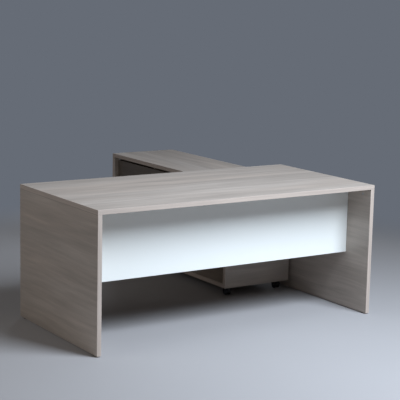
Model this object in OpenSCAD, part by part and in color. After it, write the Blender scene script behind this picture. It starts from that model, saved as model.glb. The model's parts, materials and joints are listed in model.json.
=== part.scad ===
// Desk with a mobile credenza that stands at right angles to it.
// The visitor's side of the desk faces -Y, the user sits on its +Y side, and +Z is up.
// The credenza runs along Y on castors, its near end tucked under the desktop.
// All sizes are in millimetres, and the origin is on the floor, at the middle of the whole set.

/* [Desk] */
// Length of the desktop
desk_l = 1800; // [1500:10:2200]
// Depth of the desktop
desk_d = 900; // [700:10:1100]
// Height of the desktop's upper face above the floor
desk_h = 760; // [740:5:800]
// Thickness of the desktop, the end panels and the credenza's outer boards
board_t = 25; // [22:1:30]
// Height of the modesty panel
modesty_h = 400; // [250:10:500]
// Thickness of the modesty panel
modesty_t = 18; // [16:1:25]
// Distance from the desktop's front edge back to the modesty panel
modesty_setback = 200; // [80:10:280]
// Height of the floor glides
glide_h = 5; // [3:1:10]
// Diameter of the floor glides
glide_d = 20; // [12:1:20]

/* [Credenza] */
// Length of the credenza
cred_l = 1400; // [1200:10:1800]
// Depth of the credenza
cred_d = 480; // [440:5:600]
// Length of the credenza that stands under the desktop
cred_tuck = 185; // [0:5:350]
// Gap between the desktop's underside and the credenza's top
cred_top_gap = 30; // [10:5:60]
// Gap between the credenza's back and the desk's right end panel
cred_side_gap = 25; // [5:5:60]
// Thickness of the dividers, the shelves, the fronts and the credenza's back
inner_t = 18; // [16:1:19]
// How far the door and the drawer fronts stand back from the carcass's front edges
front_recess = 30; // [10:5:50]
// Gap round the door and the drawer fronts, and behind them
front_gap = 2; // [2:0.5:4]
// Finger gap above the door and above each drawer front
grip_gap = 20; // [16:1:30]
// Depth of the shelves behind the front edge of the dividers
shelf_setback = 20; // [5:5:60]

/* [Drawers] */
// Height of the fronts of the upper and the middle drawer
small_front_h = 128; // [110:2:150]
// Thickness of the drawer boxes' walls
box_wall_t = 12; // [10:1:16]
// Thickness of the drawer boxes' bottoms
box_bottom_t = 4; // [3:0.5:6]
// How far the walls of a drawer box end below the top of its front
box_drop = 28; // [15:1:40]
// How far a drawer box stands above the lower edge of its front
box_rise = 12; // [8:1:20]
// Space for a runner beside the drawer box
runner_w = 12.7; // [12:0.1:14]
// Height of the runners' fixed channel
runner_h = 45; // [35:1:50]
// Sheet thickness of the runners
runner_sheet = 1.2; // [1:0.1:1.5]

/* [Castors] */
// Height of a castor from the floor to the credenza's underside
castor_h = 55; // [52:1:70]
// Diameter of the castor wheels
wheel_d = 42; // [36:1:44]
// Width of one wheel of a castor's pair
wheel_w = 12; // [9:1:14]
// Distance from the swivel axis back to the wheels' axle
castor_trail = 12; // [10:1:16]
// Side of the castors' square plates
plate_side = 38; // [36:1:42]
// Distance from the credenza's front and back faces to the swivel axes
castor_inset_x = 55; // [40:1:80]
// Distance from the credenza's ends to the swivel axes
castor_inset_y = 45; // [45:1:80]

/* [Edge bands] */
// Thickness of the edge bands
band_t = 2; // [1:0.5:3]
// Radius on the outer edges of the edge bands
band_r = 0.8; // [0.4:0.1:1]
// Hairline joint where two bands or two box walls meet
joint_gap = 0.1; // [0.05:0.05:0.3]

/* [Fittings] */
// Diameter of the cam housings
cam_d = 15; // [12:1:15]
// Distance from a board's end to the middle of its cam housings
cam_offset = 34; // [24:1:40]
// Diameter of the wooden dowels
dowel_d = 8; // [6:1:10]
// Length of the wooden dowels
dowel_l = 30; // [24:2:40]
// Diameter of the holes for the shelf supports
support_d = 5; // [4:0.5:7]
// Diameter of the door's pivot pins
pivot_d = 5; // [4:0.5:6]
// Clearance round what is pushed or screwed into a hole
fit_gap = 0.1; // [0.05:0.01:0.1]
// Clearance of a pin that turns in its bore
turn_gap = 0.05; // [0.02:0.01:0.1]
// Clearance between parts that slide or swivel past each other
slide_gap = 0.3; // [0.2:0.05:0.5]

/* [Hidden] */

// Smoothness of round parts, and how far a cut runs past a face
$fn = 48;
cut = 1;

// Colours of the materials
laminate = [0.70, 0.67, 0.66];
front_laminate = [0.46, 0.43, 0.41];
band_colour = [0.76, 0.73, 0.71];
lacquer = [0.93, 0.95, 0.95];
drawer_grey = [0.80, 0.80, 0.79];
steel = [0.72, 0.73, 0.75];
beech = [0.82, 0.68, 0.48];
black_plastic = [0.06, 0.06, 0.07];

// Places along the desk
overall_d = desk_d - cred_tuck + cred_l;
desk_left = -desk_l / 2;
desk_right = desk_l / 2;
desk_front = -overall_d / 2;
desk_back = desk_front + desk_d;
desk_mid_y = (desk_front + desk_back) / 2;
under_top = desk_h - board_t;
modesty_front = desk_front + modesty_setback;
modesty_mid_y = modesty_front + modesty_t / 2;
modesty_low = under_top - modesty_h;

// Places on the credenza
cred_right = desk_right - board_t - cred_side_gap;
cred_left = cred_right - cred_d;
cred_near = desk_back - cred_tuck;
cred_far = cred_near + cred_l;
cred_top = under_top - cred_top_gap;
bay_low = castor_h + board_t;
bay_high = cred_top - board_t;
bay_back = cred_right - inner_t;
bay_l = (cred_l - 2 * board_t - 2 * inner_t) / 3;
niche_y = cred_near + board_t;
near_divider_y = niche_y + bay_l;
drawer_bay_y = near_divider_y + inner_t;
far_divider_y = drawer_bay_y + bay_l;
cupboard_y = far_divider_y + inner_t;
far_panel_y = cupboard_y + bay_l;
front_x = cred_left + front_recess;
divider_front = front_x + inner_t + front_gap;
shelf_front = divider_front + shelf_setback;
shelf_z = (bay_low + bay_high) / 2;

// Where the drawer fronts end and the door starts, along the credenza
drawer_fronts_y = far_divider_y + (inner_t - front_gap) / 2;
door_y = drawer_fronts_y + front_gap;

// Places of the drawers, as [lower edge, upper edge] of each front
upper_front_z = [bay_high - grip_gap - small_front_h, bay_high - grip_gap];
middle_front_z = [upper_front_z[0] - grip_gap - small_front_h, upper_front_z[0] - grip_gap];
lower_front_z = [bay_low + front_gap, middle_front_z[0] - grip_gap];
box_front_x = front_x + inner_t;
runner_back_gap = 14;
box_l = bay_back - runner_back_gap - box_front_x;
groove_rise = 10;
groove_depth = 6;
runner_rise = 30;
runner_setback = 2;

// Castor places, as [x, y], and parts of a castor
near_left = [cred_left + castor_inset_x, cred_near + castor_inset_y];
near_right = [cred_right - castor_inset_x, cred_near + castor_inset_y];
far_left = [cred_left + castor_inset_x, cred_far - castor_inset_y];
far_right = [cred_right - castor_inset_x, cred_far - castor_inset_y];
castors = [near_left, near_right, far_left, far_right];
wheel_r = wheel_d / 2;
plate_t = 2.5;
kingpin_d = 6;
kingpin_clear = 8;
web_t = 10;
boss_d = 18;
hood_t = 2.5;
hood_gap = 1.5;
hood_low = 5;
castor_axle_d = 5;
hub_d = 14;
hub_dish = 3;
tread_r = 2;
screw_d = 3.5;
screw_l = 16;
screw_head_d = 7;
screw_head_h = 1.8;
screw_spacing = plate_side - 12;

// Glide nail
nail_d = 3;
nail_l = 15;
glide_inset = 45;

// Cam fitting, dowel, shelf support and pivot details
cam_reach = 4.5;
thread_d = 5;
thread_l = 11;
shank_d = 6;
shank_hole_d = 8;
neck_d = 4;
neck_l = 5;
head_d = 6.4;
head_l = 3;
head_room = 1;
slot_w = 2;
slot_l = 9;
slot_depth = 2.5;
support_reach = 8;
support_pad = [10, 2];
support_inset = 60;
support_holes = 3;
support_pitch = 32;
pivot_inset = 12;
pivot_depth = 6;
pivot_reach = 9;
pivot_body_d = 10;
pivot_body_l = 10;
bush_d = 8;
bush_l = 11;
pivot_x = front_x + pivot_depth;
pivot_y = far_panel_y - front_gap - pivot_inset;
door_low = bay_low + front_gap;
door_high = bay_high - grip_gap;

// Where the fittings sit along a board
desk_cam_inset = 70;
desk_dowel_inset = 160;
modesty_fitting_inset = 80;
cred_cam_inset = 115;
cred_dowel_inset = 175;

// Each joint is [place on the contact plane, turn, thickness of the board with the cam].
// In its own frame +Z points into that board, and +X towards the face where the cam goes in.
desk_cam_ys = [desk_front + desk_cam_inset, desk_mid_y, desk_back - desk_cam_inset];
desk_dowel_ys = [desk_front + desk_dowel_inset, desk_back - desk_dowel_inset];
modesty_cam_zs = [modesty_low + modesty_fitting_inset, under_top - modesty_fitting_inset];
modesty_mid_z = (modesty_low + under_top) / 2;
left_top_cams = [for (y = desk_cam_ys) [[desk_left + board_t / 2, y, under_top], [180, 0, 0], board_t]];
right_top_cams = [for (y = desk_cam_ys) [[desk_right - board_t / 2, y, under_top], [0, 180, 0], board_t]];
left_top_dowels = [for (y = desk_dowel_ys) [[desk_left + board_t / 2, y, under_top], [180, 0, 0]]];
right_top_dowels = [for (y = desk_dowel_ys) [[desk_right - board_t / 2, y, under_top], [180, 0, 0]]];
left_modesty_cams = [for (z = modesty_cam_zs)
    [[desk_left + board_t, modesty_mid_y, z], [90, 0, 90], modesty_t]];
right_modesty_cams = [for (z = modesty_cam_zs)
    [[desk_right - board_t, modesty_mid_y, z], [-90, 0, 90], modesty_t]];
left_modesty_dowels = [[[desk_left + board_t, modesty_mid_y, modesty_mid_z], [0, 90, 0]]];
right_modesty_dowels = [[[desk_right - board_t, modesty_mid_y, modesty_mid_z], [0, -90, 0]]];

cred_cam_xs = [cred_left + cred_cam_inset, cred_right - cred_cam_inset];
cred_dowel_xs = [cred_left + cred_dowel_inset, cred_right - cred_dowel_inset];
near_mid_y = cred_near + board_t / 2;
far_mid_y = cred_far - board_t / 2;
bottom_mid_z = castor_h + board_t / 2;
near_top_cams = [for (x = cred_cam_xs) [[x, near_mid_y, bay_high], [180, 0, 90], board_t]];
far_top_cams = [for (x = cred_cam_xs) [[x, far_mid_y, bay_high], [180, 0, -90], board_t]];
near_low_cams = [for (x = cred_cam_xs) [[x, niche_y, bottom_mid_z], [-90, 90, 0], board_t]];
far_low_cams = [for (x = cred_cam_xs) [[x, far_panel_y, bottom_mid_z], [90, 90, 0], board_t]];
near_top_dowels = [for (x = cred_dowel_xs) [[x, near_mid_y, bay_high], [0, 0, 0]]];
far_top_dowels = [for (x = cred_dowel_xs) [[x, far_mid_y, bay_high], [0, 0, 0]]];
near_low_dowels = [for (x = cred_dowel_xs) [[x, niche_y, bottom_mid_z], [90, 0, 0]]];
far_low_dowels = [for (x = cred_dowel_xs) [[x, far_panel_y, bottom_mid_z], [90, 0, 0]]];
divider_mid_ys = [near_divider_y + inner_t / 2, far_divider_y + inner_t / 2];
divider_top_dowels = [for (y = divider_mid_ys, x = cred_dowel_xs) [[x, y, bay_high], [0, 0, 0]]];
divider_low_dowels = [for (y = divider_mid_ys, x = cred_dowel_xs) [[x, y, bay_low], [0, 0, 0]]];

// Shelf supports, as [x, y, turn about z], where the shelf lies on the +Y side of an unturned one
support_xs = [shelf_front + support_inset, bay_back - support_inset];
niche_supports = [for (x = support_xs, s = [[niche_y, 0], [near_divider_y, 180]]) [x, s[0], s[1]]];
cupboard_supports = [for (x = support_xs, s = [[cupboard_y, 0], [far_panel_y, 180]]) [x, s[0], s[1]]];

// Points of an arc, as [x, y]
function arc(centre, r, from, to, steps = 4) =
    [for (i = [0:steps]) let (a = from + (to - from) * i / steps)
        [centre[0] + r * cos(a), centre[1] + r * sin(a)]];

// A box from its lowest to its highest corner
module block(low, high) {
    translate(low) cube(high - low);
}

// Moves what follows into a joint's own frame
module at(joint) {
    translate(joint[0]) rotate(joint[1]) children();
}

// An edge band along +X on a board's edge, with the board below y = 0 and z from 0 to the width
module band(length, width) {
    profile = concat(
        [[0, 0]],
        arc([band_t - band_r, band_r], band_r, -90, 0),
        arc([band_t - band_r, width - band_r], band_r, 0, 90),
        [[0, width]]);
    rotate([90, 0, 90]) linear_extrude(length) polygon(profile);
}

// Four bands round a horizontal board, inside its full size
module band_ring(low, high) {
    width = high[2] - low[2];
    inset = band_t + joint_gap;
    inner_d = high[1] - low[1] - 2 * inset;
    translate([high[0], low[1] + band_t, low[2]]) rotate([0, 0, 180]) band(high[0] - low[0], width);
    translate([low[0], high[1] - band_t, low[2]]) band(high[0] - low[0], width);
    translate([low[0] + band_t, low[1] + inset, low[2]]) rotate([0, 0, 90]) band(inner_d, width);
    translate([high[0] - band_t, high[1] - inset, low[2]]) rotate([0, 0, -90]) band(inner_d, width);
}

// Bands on the front and back edges of a vertical board across X, and on its lower edge
module end_panel_bands(low_x) {
    height = under_top - glide_h;
    inset = band_t + joint_gap;
    translate([low_x, desk_front + band_t, glide_h]) rotate([180, -90, 0]) band(height, board_t);
    translate([low_x + board_t, desk_back - band_t, glide_h]) rotate([0, -90, 0]) band(height, board_t);
    translate([low_x + board_t, desk_front + inset, glide_h + band_t]) rotate([-90, 0, 90])
        band(desk_d - 2 * inset, board_t);
}

// A vertical band on the front edge, at x, of a board that starts at y
module front_band(x, y, low_z, high_z, width) {
    translate([x + band_t, y + width, low_z]) rotate([0, -90, 90]) band(high_z - low_z, width);
}

// A vertical band on the back edge, at x, of a board that starts at y
module rear_band(x, y, low_z, high_z, width) {
    translate([x - band_t, y, low_z]) rotate([0, -90, -90]) band(high_z - low_z, width);
}

// A horizontal band on the front edge, at x, of a board that lies at z
module shelf_band(x, low_y, high_y, z, width) {
    translate([x + band_t, low_y, z]) rotate([0, 0, 90]) band(high_y - low_y, width);
}

// The cam housing's bore and the bolt's hole, in the board that holds the cam
module cam_bores(joints) {
    for (j = joints) at(j) {
        translate([0, 0, -cut]) cylinder(d = shank_hole_d, h = cam_offset + cut);
        translate([-cam_reach, 0, cam_offset]) rotate([0, 90, 0])
            cylinder(d = cam_d, h = cam_reach + j[2] / 2 + cut);
    }
}

// The bolt's threaded hole in the other board
module bolt_bores(joints) {
    for (j = joints) at(j) translate([0, 0, -thread_l - cut])
        cylinder(d = thread_d + 2 * fit_gap, h = thread_l + 2 * cut);
}

// Dowel holes, which run the same depth into both boards
module dowel_bores(joints) {
    depth = dowel_l / 2 + cut;
    for (j = joints) at(j) translate([0, 0, -depth]) cylinder(d = dowel_d + 2 * fit_gap, h = 2 * depth);
}

// Cam housings with the pocket for the bolt's head and a cross recess for the screwdriver
module cam_locks(joints) {
    pocket_d = head_d + head_room;
    for (j = joints) at(j) difference() {
        face = j[2] / 2 - fit_gap;
        translate([-cam_reach + fit_gap, 0, cam_offset]) rotate([0, 90, 0])
            cylinder(d = cam_d - 2 * fit_gap, h = cam_reach + face - fit_gap);
        translate([0, 0, cam_offset - cam_d]) cylinder(d = pocket_d, h = cam_d + head_l);
        translate([face, 0, cam_offset]) cube([2 * slot_depth, slot_l, slot_w], center = true);
        translate([face, 0, cam_offset]) cube([2 * slot_depth, slot_w, slot_l], center = true);
    }
}

// Bolts with a threaded end, a shank, a neck and the head that the cam grips
module cam_bolts(joints) {
    shank_l = cam_offset - neck_l;
    for (j = joints) at(j) {
        translate([0, 0, -thread_l]) cylinder(d = thread_d, h = thread_l);
        cylinder(d = shank_d, h = shank_l);
        translate([0, 0, shank_l]) cylinder(d = neck_d, h = neck_l);
        translate([0, 0, cam_offset - head_l / 2]) cylinder(d = head_d, h = head_l);
    }
}

// Wooden dowels
module dowels(joints) {
    for (j = joints) at(j) translate([0, 0, -dowel_l / 2]) cylinder(d = dowel_d, h = dowel_l);
}

// The desk

module desktop() {
    color(laminate) difference() {
        block([desk_left + band_t, desk_front + band_t, under_top],
              [desk_right - band_t, desk_back - band_t, desk_h]);
        bolt_bores(concat(left_top_cams, right_top_cams));
        dowel_bores(concat(left_top_dowels, right_top_dowels));
    }
}

module desktop_edge_bands() {
    color(band_colour) band_ring([desk_left, desk_front, under_top], [desk_right, desk_back, desk_h]);
}

// The core of an end panel that starts at low_x, without its bands
module end_panel(low_x, top_cams, top_dowels, modesty_cams, modesty_dowels) {
    difference() {
        block([low_x, desk_front + band_t, glide_h + band_t],
            [low_x + board_t, desk_back - band_t, under_top]);
        cam_bores(top_cams);
        dowel_bores(top_dowels);
        bolt_bores(modesty_cams);
        dowel_bores(modesty_dowels);
        for (y = [desk_front + glide_inset, desk_back - glide_inset])
            translate([low_x + board_t / 2, y, glide_h]) cylinder(d = nail_d + 2 * fit_gap, h = nail_l + cut);
    }
}

module left_end_panel() {
    color(laminate)
        end_panel(desk_left, left_top_cams, left_top_dowels, left_modesty_cams, left_modesty_dowels);
}

module right_end_panel() {
    color(laminate) end_panel(desk_right - board_t,
        right_top_cams, right_top_dowels, right_modesty_cams, right_modesty_dowels);
}

module end_panel_edge_bands() {
    color(band_colour) difference() {
        for (low_x = [desk_left, desk_right - board_t]) end_panel_bands(low_x);
        glide_places() translate([0, 0, glide_h - cut]) cylinder(d = nail_d + 2 * fit_gap, h = nail_l);
    }
}

module modesty_panel() {
    color(lacquer) difference() {
        block([desk_left + board_t, modesty_front, modesty_low],
              [desk_right - board_t, modesty_front + modesty_t, under_top]);
        cam_bores(concat(left_modesty_cams, right_modesty_cams));
        dowel_bores(concat(left_modesty_dowels, right_modesty_dowels));
    }
}

// The four places of the floor glides
module glide_places() {
    for (x = [desk_left + board_t / 2, desk_right - board_t / 2])
        for (y = [desk_front + glide_inset, desk_back - glide_inset])
            translate([x, y, 0]) children();
}

module floor_glides() {
    color(black_plastic) glide_places() {
        cylinder(d = glide_d, h = glide_h);
        cylinder(d = nail_d, h = glide_h + nail_l);
    }
}

module desk_dowels() {
    color(beech)
        dowels(concat(left_top_dowels, right_top_dowels, left_modesty_dowels, right_modesty_dowels));
}

module desk_cam_locks() {
    color(steel) cam_locks(concat(left_top_cams, right_top_cams, left_modesty_cams, right_modesty_cams));
}

module desk_cam_bolts() {
    color(steel) cam_bolts(concat(left_top_cams, right_top_cams, left_modesty_cams, right_modesty_cams));
}

// The credenza's carcass

module credenza_top() {
    color(laminate) difference() {
        block([cred_left + band_t, cred_near + band_t, bay_high],
              [cred_right - band_t, cred_far - band_t, cred_top]);
        bolt_bores(concat(near_top_cams, far_top_cams));
        dowel_bores(concat(near_top_dowels, far_top_dowels, divider_top_dowels));
        pivot_pin_bore(bay_high, 1);
    }
}

module credenza_top_edge_bands() {
    color(band_colour) band_ring([cred_left, cred_near, bay_high], [cred_right, cred_far, cred_top]);
}

module credenza_bottom() {
    color(laminate) difference() {
        block([cred_left + band_t, niche_y, castor_h], [cred_right - band_t, far_panel_y, bay_low]);
        cam_bores(concat(near_low_cams, far_low_cams));
        dowel_bores(concat(near_low_dowels, far_low_dowels, divider_low_dowels));
        pivot_pin_bore(bay_low, -1);
        castor_screw_places() translate([0, 0, castor_h - cut])
            cylinder(d = screw_d + 2 * fit_gap, h = screw_l + 2 * cut);
    }
}

module near_end_panel() {
    color(laminate) difference() {
        block([cred_left + band_t, cred_near, castor_h], [cred_right - band_t, niche_y, bay_high]);
        cam_bores(near_top_cams);
        bolt_bores(near_low_cams);
        dowel_bores(concat(near_top_dowels, near_low_dowels));
        support_bores(niche_supports);
    }
}

module far_end_panel() {
    color(laminate) difference() {
        block([cred_left + band_t, far_panel_y, castor_h], [cred_right - band_t, cred_far, bay_high]);
        cam_bores(far_top_cams);
        bolt_bores(far_low_cams);
        dowel_bores(concat(far_top_dowels, far_low_dowels));
        support_bores(cupboard_supports);
    }
}

module back_panel() {
    color(laminate) block([bay_back, niche_y, bay_low], [cred_right, far_panel_y, bay_high]);
}

// A divider that starts at y, with the shelf supports of the bay beside it
module divider(y, supports) {
    difference() {
        block([divider_front + band_t, y, bay_low], [bay_back, y + inner_t, bay_high]);
        dowel_bores(concat(divider_top_dowels, divider_low_dowels));
        support_bores(supports);
    }
}

module near_divider() {
    color(laminate) divider(near_divider_y, niche_supports);
}

module far_divider() {
    color(laminate) divider(far_divider_y, cupboard_supports);
}

module carcass_edge_bands() {
    color(band_colour) {
        for (y = [cred_near, far_panel_y]) {
            front_band(cred_left, y, castor_h, bay_high, board_t);
            rear_band(cred_right, y, castor_h, bay_high, board_t);
        }
        shelf_band(cred_left, niche_y + joint_gap, far_panel_y - joint_gap, castor_h, board_t);
        translate([cred_right - band_t, far_panel_y - joint_gap, castor_h]) rotate([0, 0, -90])
            band(far_panel_y - niche_y - 2 * joint_gap, board_t);
        for (y = [near_divider_y, far_divider_y]) front_band(divider_front, y, bay_low, bay_high, inner_t);
        shelf_band(shelf_front, niche_y + slide_gap, near_divider_y - slide_gap, shelf_z, inner_t);
        shelf_band(shelf_front, cupboard_y + slide_gap, far_panel_y - slide_gap, shelf_z, inner_t);
    }
}

// The shelves and their supports

module niche_shelf() {
    color(laminate) block([shelf_front + band_t, niche_y + slide_gap, shelf_z],
                          [bay_back - slide_gap, near_divider_y - slide_gap, shelf_z + inner_t]);
}

module cupboard_shelf() {
    color(laminate) block([shelf_front + band_t, cupboard_y + slide_gap, shelf_z],
                          [bay_back - slide_gap, far_panel_y - slide_gap, shelf_z + inner_t]);
}

// A column of holes above and below each support, so that the shelf can be set higher or lower
module support_bores(supports) {
    steps = (support_holes - 1) / 2;
    middle_z = shelf_z - support_pad[1] / 2;
    for (s = supports, i = [-steps:steps])
        translate([s[0], s[1], middle_z + i * support_pitch]) rotate([0, 0, s[2]])
            translate([0, cut, 0]) rotate([90, 0, 0])
                cylinder(d = support_d + 2 * fit_gap, h = support_reach + 2 * cut);
}

module shelf_supports() {
    pad_w = support_pad[0];
    pad_h = support_pad[1];
    color(steel) for (s = concat(niche_supports, cupboard_supports))
        translate([s[0], s[1], shelf_z - pad_h / 2]) rotate([0, 0, s[2]]) {
            rotate([90, 0, 0]) cylinder(d = support_d, h = support_reach);
            translate([-pad_w / 2, 0, -pad_h / 2]) cube([pad_w, support_reach, pad_h]);
        }
}

module credenza_dowels() {
    color(beech) dowels(concat(near_top_dowels, far_top_dowels, near_low_dowels, far_low_dowels,
                               divider_top_dowels, divider_low_dowels));
}

module credenza_cam_locks() {
    color(steel) cam_locks(concat(near_top_cams, far_top_cams, near_low_cams, far_low_cams));
}

module credenza_cam_bolts() {
    color(steel) cam_bolts(concat(near_top_cams, far_top_cams, near_low_cams, far_low_cams));
}

// The door and its pivots

// The bore for a pivot pin's body, from the board's face up (way 1) or down (way -1)
module pivot_pin_bore(z, way) {
    translate([pivot_x, pivot_y, z]) mirror([0, 0, way < 0 ? 1 : 0]) translate([0, 0, -cut])
        cylinder(d = pivot_body_d + 2 * fit_gap, h = pivot_body_l + 2 * cut);
}

// A pivot pin, pushed into a board's face at z, with a collar across the gap to the door
module pivot_pin(z, way, gap) {
    translate([pivot_x, pivot_y, z]) mirror([0, 0, way < 0 ? 1 : 0]) {
        cylinder(d = pivot_body_d, h = pivot_body_l);
        translate([0, 0, slide_gap - gap]) cylinder(d = bush_d - 1, h = gap);
        translate([0, 0, -gap - pivot_reach]) cylinder(d = pivot_d, h = gap + pivot_reach);
    }
}

module door_pivot_pins() {
    color(steel) {
        pivot_pin(bay_high, 1, bay_high - door_high);
        pivot_pin(bay_low, -1, door_low - bay_low);
    }
}

module door_panel() {
    color(front_laminate) difference() {
        block([front_x, door_y, door_low],
            [front_x + inner_t, far_panel_y - front_gap, door_high]);
        for (z = [door_low - cut, door_high - bush_l - cut])
            translate([pivot_x, pivot_y, z]) cylinder(d = bush_d, h = bush_l + 2 * cut);
    }
}

module door_pivot_bushes() {
    bore = pivot_d + 2 * turn_gap;
    color(black_plastic) for (z = [door_low, door_high - bush_l])
        translate([pivot_x, pivot_y, z]) difference() {
            cylinder(d = bush_d - 2 * fit_gap, h = bush_l);
            translate([0, 0, -cut]) cylinder(d = bore, h = bush_l + 2 * cut);
        }
}

// The drawers and their runners

// A drawer's front, from the lower to the upper edge in front_z; it covers the near divider
// and half of the far one, as the door covers the other half
module drawer_front(front_z) {
    color(front_laminate) block([front_x, near_divider_y, front_z[0]],
                                [front_x + inner_t, drawer_fronts_y, front_z[1]]);
}

// The lower edge and the height of the box behind a front
function box_low(front_z) = front_z[0] + box_rise;
function box_high(front_z) = front_z[1] - box_drop;

// The groove that holds a box's bottom, or the bottom itself when it is smaller by the gap
module box_bottom(front_z, gap) {
    reach = box_wall_t - groove_depth + gap;
    low_z = box_low(front_z) + groove_rise;
    block([box_front_x + reach, drawer_bay_y + runner_w + reach, low_z + gap],
          [box_front_x + box_l - reach, far_divider_y - runner_w - reach,
           low_z + box_bottom_t + 2 * fit_gap - gap]);
}

// The four walls of a drawer box, with the groove for its bottom
module drawer_box(front_z) {
    low_y = drawer_bay_y + runner_w;
    high_y = far_divider_y - runner_w;
    low_z = box_low(front_z);
    high_z = box_high(front_z);
    rear_x = box_front_x + box_l;
    color(drawer_grey) {
        for (y = [low_y, high_y - box_wall_t]) difference() {
            block([box_front_x, y, low_z], [rear_x, y + box_wall_t, high_z]);
            box_bottom(front_z, 0);
        }
        for (x = [box_front_x, rear_x - box_wall_t]) difference() {
            block([x, low_y + box_wall_t + joint_gap, low_z],
                  [x + box_wall_t, high_y - box_wall_t - joint_gap, high_z]);
            box_bottom(front_z, 0);
        }
    }
}

module drawer_bottom(front_z) {
    color(drawer_grey) box_bottom(front_z, fit_gap);
}

// A runner's channel along X, with its web at web_y and its flanges reaching to tip_y
module channel(web_y, tip_y, height, z) {
    low_y = min(web_y, tip_y);
    high_y = max(web_y, tip_y);
    inside = [low_y + (web_y < tip_y ? runner_sheet : -cut), high_y - (web_y < tip_y ? -cut : runner_sheet)];
    front = box_front_x + runner_setback;
    rear = box_front_x + box_l;
    difference() {
        block([front, low_y, z - height / 2], [rear, high_y, z + height / 2]);
        block([front - cut, inside[0], z - height / 2 + runner_sheet],
              [rear + cut, inside[1], z + height / 2 - runner_sheet]);
    }
}

// A pair of runner channels on both sides of the drawer bay; the web and the tip are measured
// from the bay's walls
module runner_pair(front_z, web, tip, height) {
    z = box_low(front_z) + runner_rise;
    color(steel) {
        channel(drawer_bay_y + web, drawer_bay_y + tip, height, z);
        channel(far_divider_y - web, far_divider_y - tip, height, z);
    }
}

// The channels nest in one another with the sliding gap all round
runner_step = runner_sheet + slide_gap;
carrier_h = runner_h - 2 * runner_step;
drawer_runner_h = carrier_h - 2 * runner_step;

module fixed_runners() {
    for (front_z = [upper_front_z, middle_front_z, lower_front_z])
        runner_pair(front_z, 0, runner_w - 2 * runner_step, runner_h);
}

module runner_carriers(front_z) {
    runner_pair(front_z, runner_step, runner_w - runner_step, carrier_h);
}

module drawer_runners(front_z) {
    runner_pair(front_z, runner_w, 2 * runner_step, drawer_runner_h);
}

// The castors

// The four places of a castor's plate screws
module castor_screw_places() {
    for (c = castors, sx = [-1, 1], sy = [-1, 1])
        translate([c[0] + sx * screw_spacing / 2, c[1] + sy * screw_spacing / 2, 0]) children();
}

// The castors' plates, each with its kingpin as a solid of its own in the plate's bore
module castor_plates() {
    half = plate_side / 2;
    pin_low = wheel_r + kingpin_clear;
    color(steel) {
        difference() {
            for (c = castors) translate([c[0], c[1], castor_h - plate_t])
                block([-half, -half, 0], [half, half, plate_t]);
            for (c = castors) translate([c[0], c[1], castor_h - plate_t - cut])
                cylinder(d = kingpin_d + 2 * fit_gap, h = plate_t + 2 * cut);
            castor_screw_places() translate([0, 0, castor_h - plate_t - cut])
                cylinder(d = screw_d + 2 * fit_gap, h = plate_t + 2 * cut);
        }
        for (c = castors) translate([c[0], c[1], pin_low])
            cylinder(d = kingpin_d, h = castor_h - pin_low);
    }
}

module castor_screws() {
    color(steel) castor_screw_places() translate([0, 0, castor_h - plate_t]) {
        cylinder(d = screw_d, h = plate_t + screw_l);
        translate([0, 0, -screw_head_h]) cylinder(d = screw_head_d, h = screw_head_h);
    }
}

// A castor's housing: the web between the wheels, the swivel boss and the hood over the wheels
module castor_housing(place) {
    boss_top = castor_h - plate_t - slide_gap;
    hood_r = wheel_r + hood_gap;
    width = web_t + 2 * wheel_w;
    color(black_plastic) translate([place[0], place[1], 0]) difference() {
        union() {
            translate([-web_t / 2, castor_trail, wheel_r]) rotate([0, 90, 0])
                cylinder(d = wheel_d - 4 * tread_r, h = web_t);
            block([-web_t / 2, -boss_d / 2, wheel_r], [web_t / 2, castor_trail, hood_r + wheel_r]);
            intersection() {
                translate([-width / 2, castor_trail, wheel_r]) rotate([0, 90, 0]) difference() {
                    cylinder(r = hood_r + hood_t, h = width);
                    translate([0, 0, -cut]) cylinder(r = hood_r, h = width + 2 * cut);
                }
                block([-width, -castor_h, wheel_r + hood_low], [width, castor_h, castor_h]);
            }
            translate([0, 0, hood_r + wheel_r]) cylinder(d = boss_d, h = boss_top - hood_r - wheel_r);
        }
        translate([0, 0, wheel_r + kingpin_clear - cut]) cylinder(d = kingpin_d + 2 * turn_gap, h = castor_h);
        translate([-web_t / 2 - cut, castor_trail, wheel_r]) rotate([0, 90, 0])
            cylinder(d = castor_axle_d + 2 * turn_gap, h = web_t + 2 * cut);
    }
}

module castor_axle(place) {
    length = web_t + 2 * wheel_w - 2 * hub_dish;
    color(steel) translate([place[0] - length / 2, place[1] + castor_trail, wheel_r]) rotate([0, 90, 0])
        cylinder(d = castor_axle_d, h = length);
}

// One wheel, its inner face at z = 0: a rounded tread, a dished outer face and a hub
module castor_wheel() {
    width = wheel_w - slide_gap;
    dish_r = wheel_r - 2 * tread_r;
    profile = concat(
        [[castor_axle_d / 2 + turn_gap, 0]],
        arc([wheel_r - tread_r, tread_r], tread_r, -90, 0),
        arc([wheel_r - tread_r, width - tread_r], tread_r, 0, 90),
        [[dish_r, width], [dish_r - 1, width - hub_dish], [hub_d / 2, width - hub_dish],
         [hub_d / 2 - 1, width - 1], [castor_axle_d / 2 + turn_gap, width - 1]]);
    rotate_extrude() polygon(profile);
}

module castor_wheels(place) {
    color(black_plastic) translate([place[0], place[1] + castor_trail, wheel_r])
        for (turn = [90, -90]) rotate([0, turn, 0]) translate([0, 0, web_t / 2 + slide_gap]) castor_wheel();
}

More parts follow.
